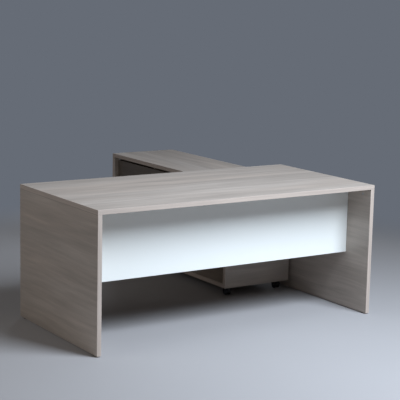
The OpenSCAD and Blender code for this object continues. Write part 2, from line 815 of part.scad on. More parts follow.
desktop();
desktop_edge_bands();
left_end_panel();
right_end_panel();
end_panel_edge_bands();
modesty_panel();
floor_glides();
desk_dowels();
desk_cam_locks();
desk_cam_bolts();
credenza_top();
credenza_bottom();
near_end_panel();
far_end_panel();
back_panel();
near_divider();
far_divider();
credenza_top_edge_bands();
carcass_edge_bands();
niche_shelf();
cupboard_shelf();
shelf_supports();
credenza_dowels();
credenza_cam_locks();
credenza_cam_bolts();
fixed_runners();
castor_plates();
castor_screws();
door_pivot_pins();
door_panel();
door_pivot_bushes();
drawer_front(upper_front_z);  // upper_drawer_front
drawer_box(upper_front_z);  // upper_drawer_box
drawer_bottom(upper_front_z);  // upper_drawer_bottom
drawer_runners(upper_front_z);  // upper_drawer_runners
runner_carriers(upper_front_z);  // upper_runner_carriers
drawer_front(middle_front_z);  // middle_drawer_front
drawer_box(middle_front_z);  // middle_drawer_box
drawer_bottom(middle_front_z);  // middle_drawer_bottom
drawer_runners(middle_front_z);  // middle_drawer_runners
runner_carriers(middle_front_z);  // middle_runner_carriers
drawer_front(lower_front_z);  // lower_drawer_front
drawer_box(lower_front_z);  // lower_drawer_box
drawer_bottom(lower_front_z);  // lower_drawer_bottom
drawer_runners(lower_front_z);  // lower_drawer_runners
runner_carriers(lower_front_z);  // lower_runner_carriers
castor_housing(near_left);  // near_left_castor_housing
castor_axle(near_left);  // near_left_castor_axle
castor_wheels(near_left);  // near_left_castor_wheels
castor_housing(near_right);  // near_right_castor_housing
castor_axle(near_right);  // near_right_castor_axle
castor_wheels(near_right);  // near_right_castor_wheels
castor_housing(far_left);  // far_left_castor_housing
castor_axle(far_left);  // far_left_castor_axle
castor_wheels(far_left);  // far_left_castor_wheels
castor_housing(far_right);  // far_right_castor_housing
castor_axle(far_right);  // far_right_castor_axle
castor_wheels(far_right);  // far_right_castor_wheels
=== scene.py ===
"""Finishes and small parts of a desk with a mobile credenza, laid out as an add-on.

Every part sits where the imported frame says. Lengths are in metres, -Y is the visitor's side of the
desk, +Y the user's side, +X runs to the end where the credenza stands, and +Z is up.
"""

import json
import math

import bmesh
import bpy
from mathutils import Matrix, Vector

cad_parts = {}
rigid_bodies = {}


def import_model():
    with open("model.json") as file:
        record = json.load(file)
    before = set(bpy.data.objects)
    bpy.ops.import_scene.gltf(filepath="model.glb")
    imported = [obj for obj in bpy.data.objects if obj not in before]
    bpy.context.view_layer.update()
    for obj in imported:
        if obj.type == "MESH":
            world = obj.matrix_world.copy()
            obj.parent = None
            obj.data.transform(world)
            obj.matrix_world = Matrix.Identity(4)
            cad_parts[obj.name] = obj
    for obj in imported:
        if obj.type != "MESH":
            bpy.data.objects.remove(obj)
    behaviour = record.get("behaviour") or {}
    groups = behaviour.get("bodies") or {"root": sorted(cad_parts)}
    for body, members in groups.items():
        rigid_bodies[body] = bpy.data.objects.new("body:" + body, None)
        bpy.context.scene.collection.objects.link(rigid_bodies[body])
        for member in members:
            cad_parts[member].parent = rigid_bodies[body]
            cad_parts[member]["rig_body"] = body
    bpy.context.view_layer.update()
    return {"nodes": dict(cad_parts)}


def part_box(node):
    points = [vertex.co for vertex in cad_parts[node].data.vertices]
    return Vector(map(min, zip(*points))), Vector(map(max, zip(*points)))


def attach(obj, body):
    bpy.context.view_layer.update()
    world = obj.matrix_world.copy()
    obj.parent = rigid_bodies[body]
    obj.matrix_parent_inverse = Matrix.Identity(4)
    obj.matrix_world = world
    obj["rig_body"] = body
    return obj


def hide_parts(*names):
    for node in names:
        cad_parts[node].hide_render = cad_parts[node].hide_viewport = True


bl_info = {
    "name": "Desk with credenza",
    "version": (1, 0, 0),
    "blender": (4, 5, 0),
    "location": "3D View > Sidebar > Desk",
    "description": "Dresses a slab-ended desk and its mobile credenza, and sets up a studio",
    "category": "Object",
}

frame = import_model()
NODES = frame["nodes"]
MM = 0.001

# Faces of a CAD solid that meet at more than this angle share a sharp edge
SHARP = math.radians(35)
# Faces of a finished piece that meet at more than this angle are shaded as a sharp edge
CREASE = math.radians(52.5)
# Faces that meet at less than this angle are parts of one flat face
FLAT = math.radians(1)
# Points nearer to each other than this are one point
WELD = 0.001 * MM
# A point nearer to a plane than this lies on it
ON_PLANE = 0.01 * MM
# Shorter edges of a board belong to its bores
LONG_EDGE = 15 * MM
# A rounding larger than this is drawn in three steps, and a smaller one in two
BROAD_ROUNDING = 0.5 * MM

# The axis along which each board's grain runs, and how far on in the print, in metres, the board
# was cut, so that no two look alike
DESK_BOARDS = {
    "desktop": ("x", 0.0),
    "left_end_panel": ("y", 1.3),
    "right_end_panel": ("y", 2.1),
}
CREDENZA_BOARDS = {
    "credenza_top": ("y", 3.0),
    "credenza_bottom": ("y", 3.6),
    "near_end_panel": ("x", 4.1),
    "far_end_panel": ("x", 4.7),
    "back_panel": ("y", 5.2),
    "near_divider": ("x", 5.5),
    "far_divider": ("x", 5.9),
    "niche_shelf": ("y", 6.3),
    "cupboard_shelf": ("y", 6.6),
}
# The same distance for the fronts, whose grain all runs along Y, and for the bands and dowels
FRONT_CUTS = {
    "door_panel": 7.0,
    "upper_drawer_front": 7.4,
    "middle_drawer_front": 7.7,
    "lower_drawer_front": 8.0,
}
BAND_CUT = 0.21
DOWEL_CUT = 0.5

DRAWERS = ("upper", "middle", "lower")
CASTORS = ("near_left", "near_right", "far_left", "far_right")


# Colour

def linear(hex_colour):
    """Turns an sRGB hex colour into the linear colour that the shaders work in."""
    channels = [int(hex_colour[i : i + 2], 16) / 255 for i in (1, 3, 5)]
    curve = [c / 12.92 if c <= 0.04045 else ((c + 0.055) / 1.055) ** 2.4 for c in channels]
    return (*curve, 1.0)


# Sizes and colours that a user would change

def colour_property(name, description, default):
    """A colour that the user can pick, starting from an sRGB hex value."""
    return bpy.props.FloatVectorProperty(
        name=name,
        description=description,
        subtype="COLOR",
        size=4,
        min=0.0,
        max=1.0,
        default=linear(default),
    )


def length_property(name, description, default_mm):
    """A length in metres, starting from a value in millimetres."""
    return bpy.props.FloatProperty(
        name=name,
        description=description,
        default=default_mm * MM,
        min=0.0,
        unit="LENGTH",
    )


class DESK_PG_finishes(bpy.types.PropertyGroup):
    """Colours of the boards, the bands and the fittings"""

    wood_light: colour_property("Light grain", "Laminate between the dark streaks", "#C6BBB1")
    wood_dark: colour_property("Dark grain", "Laminate in its dark streaks", "#A99E94")
    wood_warm: colour_property("Warm grain", "Warmer stretches of the laminate", "#C6B8AC")
    # The fronts and their bands are dark with painted shade, as dark as the shade in the credenza's
    # recess
    shade_dark_front_pale: colour_property("Light front grain", "Fronts between the dark streaks", "#73695F")
    shade_dark_front_streak: colour_property("Dark front grain", "Fronts in their dark streaks", "#60574D")
    band: colour_property("Edge band", "Edge bands, a little warmer than the boards", "#C0B1A6")
    rubbed_band: colour_property("Rubbed edge band", "Edge bands where rubbed", "#E4DDDA")
    shade_dark_band: colour_property("Dark edge band", "Edge bands of the fronts", "#70665C")
    rubbed_shade_dark_band: colour_property("Rubbed dark band", "Dark edge bands where rubbed", "#8E8781")
    lacquer: colour_property("Lacquer", "Modesty panel", "#F6F8F4")
    drawer_board: colour_property("Drawer board", "Coated board of the drawer boxes", "#B9BAB8")
    black: colour_property("Black plastic", "Castors and floor glides", "#121214")
    rubbed_black: colour_property("Rubbed plastic", "Black plastic where rubbed", "#4A4A4C")
    zinc: colour_property("Zinc plate", "Runners, screws and castor plates", "#C2C4C6")
    beech: colour_property("Beech", "Dowels", "#CDA677")


class DESK_PG_sizes(bpy.types.PropertyGroup):
    """Sizes of what the scene adds to the frame"""

    band_radius: length_property("Band radius", "Rounding on the outer edges of bands", 0.8)
    front_band: length_property("Front band", "Thickness of the bands round the fronts", 1.5)
    grain_length: length_property("Grain length", "Length of a dark streak", 1500)
    grain_width: length_property("Grain width", "Distance between dark streaks", 90)
    panel_radius: length_property("Panel radius", "Rounding on the modesty panel", 1.0)
    box_radius: length_property("Box radius", "Rounding on the drawer boxes", 0.8)
    hood_radius: length_property("Hood radius", "Rounding on the castors' hoods", 0.8)
    glide_radius: length_property("Glide radius", "Rounding on the floor glides", 1.2)
    edge_radius: length_property("Edge radius", "Rounding on runners and small parts", 0.4)
    fine_radius: length_property("Fine radius", "Rounding on the smallest fittings", 0.2)


class DESK_PG_studio(bpy.types.PropertyGroup):
    """Camera, lamps and floor"""

    camera_place: bpy.props.FloatVectorProperty(
        name="Camera place",
        description="Where the camera stands",
        subtype="TRANSLATION",
        unit="LENGTH",
        default=(-3.8907, -6.5136, 1.9093),
    )
    camera_turn: bpy.props.FloatProperty(
        name="Camera turn",
        description="Angle of the view about the vertical, from straight at the desk's front",
        subtype="ANGLE",
        default=math.radians(-33.379),
    )
    camera_rise: bpy.props.FloatProperty(
        name="Camera rise",
        description="How far the camera looks down",
        subtype="ANGLE",
        default=math.radians(9.927),
    )
    camera_roll: bpy.props.FloatProperty(
        name="Camera roll",
        description="How far the picture leans",
        subtype="ANGLE",
        default=math.radians(1.297),
    )
    focal_length: bpy.props.FloatProperty(
        name="Focal length",
        description="Focal length in millimetres, for a sensor 36 mm wide",
        default=114.367,
        min=10.0,
    )
    paper: colour_property("Paper", "Studio paper under the desk", "#ABA9AA")
    backdrop: colour_property("Backdrop", "What is seen beyond the paper", "#666C76")
    paper_middle: bpy.props.FloatVectorProperty(
        name="Paper middle",
        description="Middle of the sheet of paper on the floor",
        subtype="TRANSLATION",
        unit="LENGTH",
        default=(0.0, -0.3, 0.0),
    )
    paper_reach: bpy.props.FloatProperty(
        name="Paper reach",
        description="Distance from its middle at which the paper has faded into the backdrop",
        unit="LENGTH",
        default=3.5,
        min=1.0,
    )
    paper_fade: bpy.props.FloatProperty(
        name="Paper fade",
        description="Width of the ring in which the paper fades",
        unit="LENGTH",
        default=1.3,
        min=0.1,
    )
    key_place: bpy.props.FloatVectorProperty(
        name="Key place",
        description="Where the middle of the soft box hangs",
        subtype="TRANSLATION",
        unit="LENGTH",
        default=(0.95, -3.4, 3.25),
    )
    key_power: bpy.props.FloatProperty(
        name="Key light",
        description="Power of the large soft box at the right in front of the desk",
        subtype="POWER",
        default=167.0,
        min=0.0,
    )
    reflector_power: bpy.props.FloatProperty(
        name="Reflector",
        description="Power of the weak light from the left",
        subtype="POWER",
        default=15.8,
        min=0.0,
    )
    rear_power: bpy.props.FloatProperty(
        name="Rear reflector",
        description="Power of the low light from behind",
        subtype="POWER",
        default=20.0,
        min=0.0,
    )
    fill: bpy.props.FloatProperty(
        name="Fill light",
        description="Strength of the even light from all sides",
        default=0.055,
        min=0.0,
    )
    fill_colour: colour_property("Fill colour", "Colour of the even light", "#FFE8CC")


def finishes():
    """The colours that are set in the sidebar."""
    return bpy.context.scene.desk_finishes


def sizes():
    """The sizes that are set in the sidebar."""
    return bpy.context.scene.desk_sizes


def studio():
    """The camera, lamps and floor that are set in the sidebar."""
    return bpy.context.scene.desk_studio


# Materials

def add(tree, kind, values=None, links=None, **fields):
    """Adds a node with its fields, socket values and links, and returns it."""
    made = tree.nodes.new(kind)
    for field, value in fields.items():
        setattr(made, field, value)
    for socket, value in (values or {}).items():
        made.inputs[socket].default_value = value
    for socket, source in (links or {}).items():
        tree.links.new(source, made.inputs[socket])
    return made


def span(low, high, to_low=0.0, to_high=1.0):
    """Socket values that make a Map Range node stretch one range to another."""
    return {"From Min": low, "From Max": high, "To Min": to_low, "To Max": to_high}


def new_material(name):
    """An empty material and its node tree."""
    made = bpy.data.materials.new(name)
    made.use_nodes = True
    made.node_tree.nodes.clear()
    return made, made.node_tree


def surfaced(made, shader):
    """Gives a material its surface and returns it."""
    add(made.node_tree, "ShaderNodeOutputMaterial", links={"Surface": shader.outputs[0]})
    return made


def mottle(tree, size, detail):
    """Noise in round patches about as wide as a size, in metres."""
    place = add(tree, "ShaderNodeTexCoord")
    noise = add(tree, "ShaderNodeTexNoise", {"Scale": 1 / size, "Detail": detail},
                {"Vector": place.outputs["Object"]})
    return noise.outputs["Fac"]


def shaded(tree, colour, pattern, limits):
    """A plain colour that a pattern makes darker or lighter, within a Map Range node's limits."""
    tone = add(tree, "ShaderNodeMapRange", limits, {"Value": pattern})
    tint = add(tree, "ShaderNodeMix", {"Factor": 1.0, "A": colour}, {"B": tone.outputs["Result"]},
               data_type="RGBA", blend_type="MULTIPLY")
    return tint.outputs["Result"]


# Turns that bring the grain of a board from the axis named onto X
GRAIN_TURNS = {
    "x": (0.0, 0.0, 0.0),
    "y": (0.0, 0.0, -math.pi / 2),
    "z": (0.0, math.pi / 2, 0.0),
}
# How far the print moves on along the grain, and both ways across it, for each metre of a cut
CUT_STEPS = (1.0, 0.37, 0.73)
# The grain wanders sideways by up to this much, over stretches of about this length
WANDER = 25 * MM
WANDER_LENGTH = 450 * MM


def grain_space(tree, axis, cut):
    """Coordinates with the grain along X, wandering a little, and moved on from board to board."""
    place = add(tree, "ShaderNodeTexCoord")
    turned = add(tree, "ShaderNodeMapping",
                 {"Rotation": GRAIN_TURNS[axis], "Location": [cut * step for step in CUT_STEPS]},
                 {"Vector": place.outputs["Object"]})
    slow = add(tree, "ShaderNodeTexNoise", {"Scale": 1 / WANDER_LENGTH, "Detail": 1.0},
               {"Vector": turned.outputs["Vector"]})
    sideways = add(tree, "ShaderNodeVectorMath", {1: (0.0, WANDER, WANDER)},
                   {0: slow.outputs["Color"]}, operation="MULTIPLY")
    wandering = add(tree, "ShaderNodeVectorMath",
                    links={0: turned.outputs["Vector"], 1: sideways.outputs["Vector"]})
    return wandering.outputs["Vector"]


def streaks(tree, space, length, width, detail, distortion=0.0):
    """Noise drawn out along the grain, one streak being about length by width, in metres."""
    drawn = add(tree, "ShaderNodeMapping", {"Scale": (1 / length, 1 / width, 1 / width)},
                {"Vector": space})
    noise = add(tree, "ShaderNodeTexNoise",
                {"Scale": 1.0, "Detail": detail, "Roughness": 0.55, "Distortion": distortion},
                {"Vector": drawn.outputs["Vector"]})
    return noise.outputs["Fac"]


def grain_colour(tree, space, light, dark, warm):
    """Colour of a printed grain: dark streaks on a light ground with warmer stretches."""
    length, width = sizes().grain_length, sizes().grain_width
    # Broad streaks as long as a board, and shorter and narrow ones between them
    broad = streaks(tree, space, length, width, 1.0)
    narrow = streaks(tree, space, length / 4, width / 4, 2.0, 0.1)
    both = add(tree, "ShaderNodeMix", {"Factor": 0.5}, {"A": broad, "B": narrow},
               data_type="FLOAT")
    figure = add(tree, "ShaderNodeMapRange", span(0.33, 0.67), {"Value": both.outputs["Result"]})
    warmth = add(tree, "ShaderNodeMapRange", span(0.45, 0.65),
                 {"Value": streaks(tree, space, length, 2 * width, 1.0)})
    ground = add(tree, "ShaderNodeMix", {"A": light, "B": warm},
                 {"Factor": warmth.outputs["Result"]}, data_type="RGBA")
    grained = add(tree, "ShaderNodeMix", {"A": dark},
                  {"Factor": figure.outputs["Result"], "B": ground.outputs["Result"]},
                  data_type="RGBA")
    return grained.outputs["Result"]


def printed_board(name, axis, cut, light, dark, warm, joint_height=None):
    """Melamine-faced chipboard with a printed grain: matt, faintly embossed along the grain."""
    name = f"{name}_{axis}_{round(cut * 10)}"
    if name in bpy.data.materials:
        return bpy.data.materials[name]
    made, tree = new_material(name)
    space = grain_space(tree, axis, cut)
    fine = streaks(tree, space, 260 * MM, 5 * MM, 2.0)
    lines = add(tree, "ShaderNodeMapRange", span(0.3, 0.7, 0.94, 1.04), {"Value": fine})
    # The pores are embossed, a few tenths of a millimetre wide and drawn twice as wide here
    pores = add(tree, "ShaderNodeMapRange", span(0.60, 0.74, 1.0, 0.86),
                {"Value": streaks(tree, space, 14 * MM, 0.8 * MM, 1.0)})
    tone = add(tree, "ShaderNodeMath", operation="MULTIPLY",
               links={0: lines.outputs["Result"], 1: pores.outputs["Result"]}).outputs["Value"]
    # Painted shade, with some dust, darkens the board just under a joint
    if joint_height is not None:
        tone = joint_shade_and_dust(tree, tone, joint_height)
    tint = add(tree, "ShaderNodeMix", {"Factor": 1.0},
               {"A": grain_colour(tree, space, light, dark, warm), "B": tone},
               data_type="RGBA", blend_type="MULTIPLY")
    rough = add(tree, "ShaderNodeMapRange", span(0.3, 0.7, 0.46, 0.58), {"Value": fine})
    bump = add(tree, "ShaderNodeBump", {"Strength": 0.25, "Distance": 0.15 * MM},
               {"Height": pores.outputs["Result"]})
    shader = add(tree, "ShaderNodeBsdfPrincipled", {"IOR": 1.48},
                 {"Base Color": tint.outputs["Result"], "Roughness": rough.outputs["Result"],
                  "Normal": bump.outputs["Normal"]})
    return surfaced(made, shader)


def joint_shade_and_dust(tree, tone, height):
    """Darkens the last millimetres under a joint of two boards with painted shade and some dust."""
    place = add(tree, "ShaderNodeTexCoord")
    parts = add(tree, "ShaderNodeSeparateXYZ", links={0: place.outputs["Object"]})
    line = add(tree, "ShaderNodeMapRange", span(height - 4 * MM, height - 1 * MM, 1.0, 0.7),
               {"Value": parts.outputs["Z"]})
    darker = add(tree, "ShaderNodeMath", links={0: tone, 1: line.outputs["Result"]},
                 operation="MULTIPLY")
    return darker.outputs["Value"]


def laminate(axis, cut, joint_height=None):
    """Grey elm laminate of the boards."""
    look = finishes()
    return printed_board("elm_laminate", axis, cut, look.wood_light, look.wood_dark,
                         look.wood_warm, joint_height)


def front_laminate(axis, cut):
    """Laminate of the door and the drawer fronts, its dark taupe being painted shade for the recess
    they sit in.
    """
    look = finishes()
    return printed_board("taupe_laminate", axis, cut, look.shade_dark_front_pale, look.shade_dark_front_streak,
                         look.shade_dark_front_pale)


def rubbing(tree, radius, most):
    """How much rubbing shows at a point, from 0 on a flat face to the most on a sharp edge."""
    rounded = add(tree, "ShaderNodeBevel", {"Radius": radius}, samples=4)
    geometry = add(tree, "ShaderNodeNewGeometry")
    match = add(tree, "ShaderNodeVectorMath", operation="DOT_PRODUCT",
                links={0: rounded.outputs["Normal"], 1: geometry.outputs["Normal"]})
    worn = add(tree, "ShaderNodeMapRange", span(1.0, 0.8), {"Value": match.outputs["Value"]})
    part = add(tree, "ShaderNodeMath", {1: most}, {0: worn.outputs["Result"]},
               operation="MULTIPLY")
    return part.outputs["Value"]


def edge_band(axis, dark=False):
    """ABS edge band with the print along its length: satin, paler where its edges are rubbed."""
    name = f"abs_edge_band_{'dark_' if dark else ''}{axis}"
    if name in bpy.data.materials:
        return bpy.data.materials[name]
    made, tree = new_material(name)
    look = finishes()
    plain, warm, pale = look.band, look.wood_warm, look.rubbed_band
    # The fronts' bands carry the same painted shade as the fronts
    if dark:
        plain, warm, pale = look.shade_dark_band, look.shade_dark_front_pale, look.rubbed_shade_dark_band
    space = grain_space(tree, axis, BAND_CUT)
    level = add(tree, "ShaderNodeMapRange", span(0.35, 0.65, 0.90, 1.05),
                {"Value": streaks(tree, space, 420 * MM, 7 * MM, 3.0)})
    base = add(tree, "ShaderNodeMix", {"A": plain, "B": warm},
               {"Factor": streaks(tree, space, 900 * MM, 14 * MM, 1.0)}, data_type="RGBA")
    printed = add(tree, "ShaderNodeMix", {"Factor": 1.0},
                  {"A": base.outputs["Result"], "B": level.outputs["Result"]},
                  data_type="RGBA", blend_type="MULTIPLY")
    worn = add(tree, "ShaderNodeMix", {"B": pale},
               {"Factor": rubbing(tree, 0.8 * MM, 0.25), "A": printed.outputs["Result"]},
               data_type="RGBA")
    shader = add(tree, "ShaderNodeBsdfPrincipled", {"IOR": 1.5, "Roughness": 0.42},
                 {"Base Color": worn.outputs["Result"]})
    return surfaced(made, shader)


def white_lacquer():
    """Polyurethane lacquer sprayed on fibreboard: white and smooth, with a faint orange peel."""
    made, tree = new_material("sprayed_white_lacquer")
    cloud = mottle(tree, 300 * MM, 2.0)
    tint = shaded(tree, finishes().lacquer, cloud, span(0.1, 0.9, 0.98, 1.0))
    rough = add(tree, "ShaderNodeMapRange", span(0.1, 0.9, 0.26, 0.34), {"Value": cloud})
    bump = add(tree, "ShaderNodeBump", {"Strength": 0.04, "Distance": 0.05 * MM},
               {"Height": mottle(tree, 2.5 * MM, 1.0)})
    shader = add(tree, "ShaderNodeBsdfPrincipled", {"IOR": 1.5},
                 {"Base Color": tint, "Roughness": rough.outputs["Result"],
                  "Normal": bump.outputs["Normal"]})
    return surfaced(made, shader)


def drawer_board():
    """Foil-wrapped particle board: pale grey and satin, with a fine pebble in the foil."""
    name = "grey_foil_board"
    if name in bpy.data.materials:
        return bpy.data.materials[name]
    made, tree = new_material(name)
    pebble = mottle(tree, 1.5 * MM, 2.0)
    tint = shaded(tree, finishes().drawer_board, pebble, span(0.3, 0.7, 0.94, 1.04))
    bump = add(tree, "ShaderNodeBump", {"Strength": 0.15, "Distance": 0.1 * MM},
               {"Height": pebble})
    shader = add(tree, "ShaderNodeBsdfPrincipled", {"Roughness": 0.5},
                 {"Base Color": tint, "Normal": bump.outputs["Normal"]})
    return surfaced(made, shader)


def black_plastic():
    """Moulded nylon: black, with a spark-eroded grain and greyed, rubbed edges."""
    name = "moulded_black_nylon"
    if name in bpy.data.materials:
        return bpy.data.materials[name]
    made, tree = new_material(name)
    # The eroded grain is about 0.2 mm wide, and drawn three times as wide here
    grain = mottle(tree, 0.6 * MM, 2.0)
    tint = add(tree, "ShaderNodeMix", {"A": finishes().black, "B": finishes().rubbed_black},
               {"Factor": rubbing(tree, 0.6 * MM, 0.35)}, data_type="RGBA")
    rough = add(tree, "ShaderNodeMapRange", span(0.3, 0.7, 0.38, 0.55), {"Value": grain})
    bump = add(tree, "ShaderNodeBump", {"Strength": 0.2, "Distance": 0.05 * MM},
               {"Height": grain})
    shader = add(tree, "ShaderNodeBsdfPrincipled", {"IOR": 1.53},
                 {"Base Color": tint.outputs["Result"], "Roughness": rough.outputs["Result"],
                  "Normal": bump.outputs["Normal"]})
    return surfaced(made, shader)


def zinc_plate():
    """Zinc-plated steel: bright metal, slightly cloudy in its tone and its gloss."""
    name = "bright_zinc_plate"
    if name in bpy.data.materials:
        return bpy.data.materials[name]
    made, tree = new_material(name)
    cloud = mottle(tree, 9 * MM, 3.0)
    tint = shaded(tree, finishes().zinc, cloud, span(0.3, 0.7, 0.82, 1.05))
    rough = add(tree, "ShaderNodeMapRange", span(0.3, 0.7, 0.28, 0.42), {"Value": cloud})
    shader = add(tree, "ShaderNodeBsdfPrincipled", {"Metallic": 1.0},
                 {"Base Color": tint, "Roughness": rough.outputs["Result"]})
    return surfaced(made, shader)


def beech(axis):
    """Turned beech: pale brown, with short dark flecks along the grain."""
    name = f"turned_beech_{axis}"
    if name in bpy.data.materials:
        return bpy.data.materials[name]
    made, tree = new_material(name)
    flecks = streaks(tree, grain_space(tree, axis, DOWEL_CUT), 3 * MM, 0.5 * MM, 1.0)
    tint = shaded(tree, finishes().beech, flecks, span(0.3, 0.7, 0.8, 1.05))
    shader = add(tree, "ShaderNodeBsdfPrincipled", {"Roughness": 0.6}, {"Base Color": tint})
    return surfaced(made, shader)


def seen_directly(tree):
    """1 for rays from the camera, or by way of metal or glass, and 0 for light on the object."""
    path = add(tree, "ShaderNodeLightPath")
    mirrored = add(tree, "ShaderNodeMath", operation="MAXIMUM",
                   links={0: path.outputs["Is Glossy Ray"], 1: path.outputs["Is Transmission Ray"]})
    seen = add(tree, "ShaderNodeMath", operation="MAXIMUM",
               links={0: path.outputs["Is Camera Ray"], 1: mirrored.outputs["Value"]})
    return seen.outputs["Value"]


def studio_paper():
    """Seamless studio paper: grey, matt, with faint unevenness, fading into the backdrop."""
    made, tree = new_material("seamless_paper")
    settings = studio()
    # Nine patches in ten metres, hardly darker than the rest
    patches = mottle(tree, 10 / 9, 2.0)
    tint = shaded(tree, settings.paper, patches, span(0.3, 0.7, 0.98, 1.0))
    paper = add(tree, "ShaderNodeBsdfPrincipled", {"Roughness": 0.8}, {"Base Color": tint})
    place = add(tree, "ShaderNodeTexCoord")
    distance = add(tree, "ShaderNodeVectorMath", {1: settings.paper_middle},
                   {0: place.outputs["Object"]}, operation="DISTANCE")
    fade = add(tree, "ShaderNodeMapRange",
               span(settings.paper_reach - settings.paper_fade, settings.paper_reach),
               {"Value": distance.outputs["Value"]}, interpolation_type="SMOOTHSTEP")
    beyond = add(tree, "ShaderNodeEmission", {"Color": settings.backdrop},
                 {"Strength": seen_directly(tree)})
    faded = add(tree, "ShaderNodeMixShader",
                links={0: fade.outputs["Result"], 1: paper.outputs[0], 2: beyond.outputs[0]})
    return surfaced(made, faded)


# Pieces

def dress(node, material):
    """Gives a CAD node its material."""
    piece = NODES[node]
    piece.data.materials.clear()
    piece.data.materials.append(material)


def stand_for(node, mesh, slot, *materials):
    """Makes an object of a bmesh, which rides on the body of the CAD node that it replaces."""
    data = bpy.data.meshes.new(f"{node}_rounded")
    bmesh.ops.recalc_face_normals(mesh, faces=mesh.faces)
    mesh.to_mesh(data)
    mesh.free()
    # A copy of a CAD node brings along the normals of its sharp edges, which no longer fit
    carried = data.attributes.get("custom_normal")
    if carried:
        data.attributes.remove(carried)
    data.shade_smooth()
    data.set_sharp_from_angle(angle=CREASE)
    for material in materials:
        data.materials.append(material)
    made = bpy.data.objects.new(data.name, data)
    bpy.context.scene.collection.objects.link(made)
    # Broad faces keep their own normal, and the narrow rounded ones turn between them
    weighted = made.modifiers.new("weighted_normals", "WEIGHTED_NORMAL")
    weighted.keep_sharp = True
    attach(made, NODES[node]["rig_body"])
    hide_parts(node)


def joined(node):
    """A bmesh of a CAD node, its loose triangles joined and its flat faces made whole."""
    mesh = bmesh.new()
    mesh.from_mesh(NODES[node].data)
    bmesh.ops.remove_doubles(mesh, verts=mesh.verts, dist=WELD)
    bmesh.ops.dissolve_limit(mesh, angle_limit=FLAT, verts=mesh.verts, edges=mesh.edges)
    return mesh


def long_edge(edge):
    """Whether an edge is one of a board's own, and not one of its bores'."""
    return edge.calc_length() > LONG_EDGE


def on_side(place, low, high):
    """Whether a coordinate lies on the lower or the upper side of a box."""
    return min(abs(place - low), abs(place - high)) < ON_PLANE


def round_off(mesh, edges, radius):
    """Rounds edges by a radius."""
    bmesh.ops.bevel(mesh, geom=edges, offset=radius, affect="EDGES",
                    segments=3 if radius > BROAD_ROUNDING else 2, profile=0.5, material=-1,
                    clamp_overlap=True)


def round_sharp(mesh, radius, wanted=None):
    """Rounds the sharp edges, or those of them that a test wants."""
    sharp = [e for e in mesh.edges if e.is_manifold and e.calc_face_angle() > SHARP]
    round_off(mesh, [e for e in sharp if wanted is None or wanted(e)], radius)


def soften(node, slot, material, radius=None, wanted=None):
    """Replaces a CAD node by a copy of its shape with rounded edges."""
    mesh = joined(node)
    round_sharp(mesh, sizes().edge_radius if radius is None else radius, wanted)
    stand_for(node, mesh, slot, material)


def front_piece(node, cut):
    """Replaces a front by a board with a band on each narrow side, its long edges rounded; the dark
    of board and bands is painted shade.
    """
    band, radius = sizes().front_band, sizes().band_radius
    low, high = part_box(node)
    mesh = joined(node)
    round_sharp(mesh, radius, long_edge)
    broad = [face for face in mesh.faces
             if on_side(face.calc_center_median().x, low.x, high.x)]
    bmesh.ops.inset_region(mesh, faces=broad, thickness=band - radius, use_boundary=True,
                           use_even_offset=True)
    # The bands above and below run along Y, and the ones at the sides along Z
    for face in mesh.faces:
        _, y, z = face.calc_center_median()
        to_side = min(y - low.y, high.y - y)
        to_end = min(z - low.z, high.z - z)
        if min(to_side, to_end) < band:
            face.material_index = 1 if to_end < to_side else 2
    stand_for(node, mesh, "front_laminate", front_laminate("y", cut),
              edge_band("y", dark=True), edge_band("z", dark=True))


def add_box(mesh, low, high):
    """Adds a box from its lowest to its highest corner and returns its corners."""
    made = bmesh.ops.create_cube(mesh, size=1.0)["verts"]
    bmesh.ops.scale(mesh, vec=high - low, verts=made)
    bmesh.ops.translate(mesh, vec=(low + high) / 2, verts=made)
    return made


def add_strip(mesh, low, high, along, across, outer):
    """Adds one edge band along an axis, with the long edges of its outer face rounded.

    The outer face lies at a place on the axis across the band, and the band's material is the
    one of the axis along it.
    """
    corners = add_box(mesh, low, high)
    length = (high - low)[along]
    rounded = []
    for edge in dict.fromkeys(e for v in corners for e in v.link_edges):
        a, b = (v.co for v in edge.verts)
        runs_along = abs((b - a)[along]) > length / 2
        if runs_along and all(abs(p[across] - outer) < ON_PLANE for p in (a, b)):
            rounded.append(edge)
    for face in dict.fromkeys(f for v in corners for f in v.link_faces):
        face.material_index = along
    round_off(mesh, rounded, sizes().band_radius)


def islands(node):
    """The lowest and highest corners of each separate solid in a CAD node."""
    mesh = joined(node)
    left = set(mesh.verts)
    found = []
    while left:
        todo = [left.pop()]
        group = []
        while todo:
            vert = todo.pop()
            group.append(vert.co.copy())
            for edge in vert.link_edges:
                other = edge.other_vert(vert)
                if other in left:
                    left.remove(other)
                    todo.append(other)
        found.append((Vector([min(p[i] for p in group) for i in range(3)]),
                      Vector([max(p[i] for p in group) for i in range(3)])))
    mesh.free()
    return sorted(found, key=lambda pair: tuple(pair[0]))


def band_piece(node):
    """Replaces a node of edge bands by rounded strips, the print running along each."""
    mesh = bmesh.new()
    box_low, box_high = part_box(node)
    middle = (box_low + box_high) / 2
    for low, high in islands(node):
        size = high - low
        along = max(range(3), key=lambda i: size[i])
        across = min(range(3), key=lambda i: size[i])
        is_upper = (low + high)[across] / 2 > middle[across]
        add_strip(mesh, low, high, along, across, (high if is_upper else low)[across])
    stand_for(node, mesh, "edge_band", *[edge_band(axis) for axis in "xyz"])


# Operators

# Half the width of the floor, which has the backdrop's colour long before its edge
FLOOR_HALF = 60.0
SENSOR_WIDTH_MM = 36.0


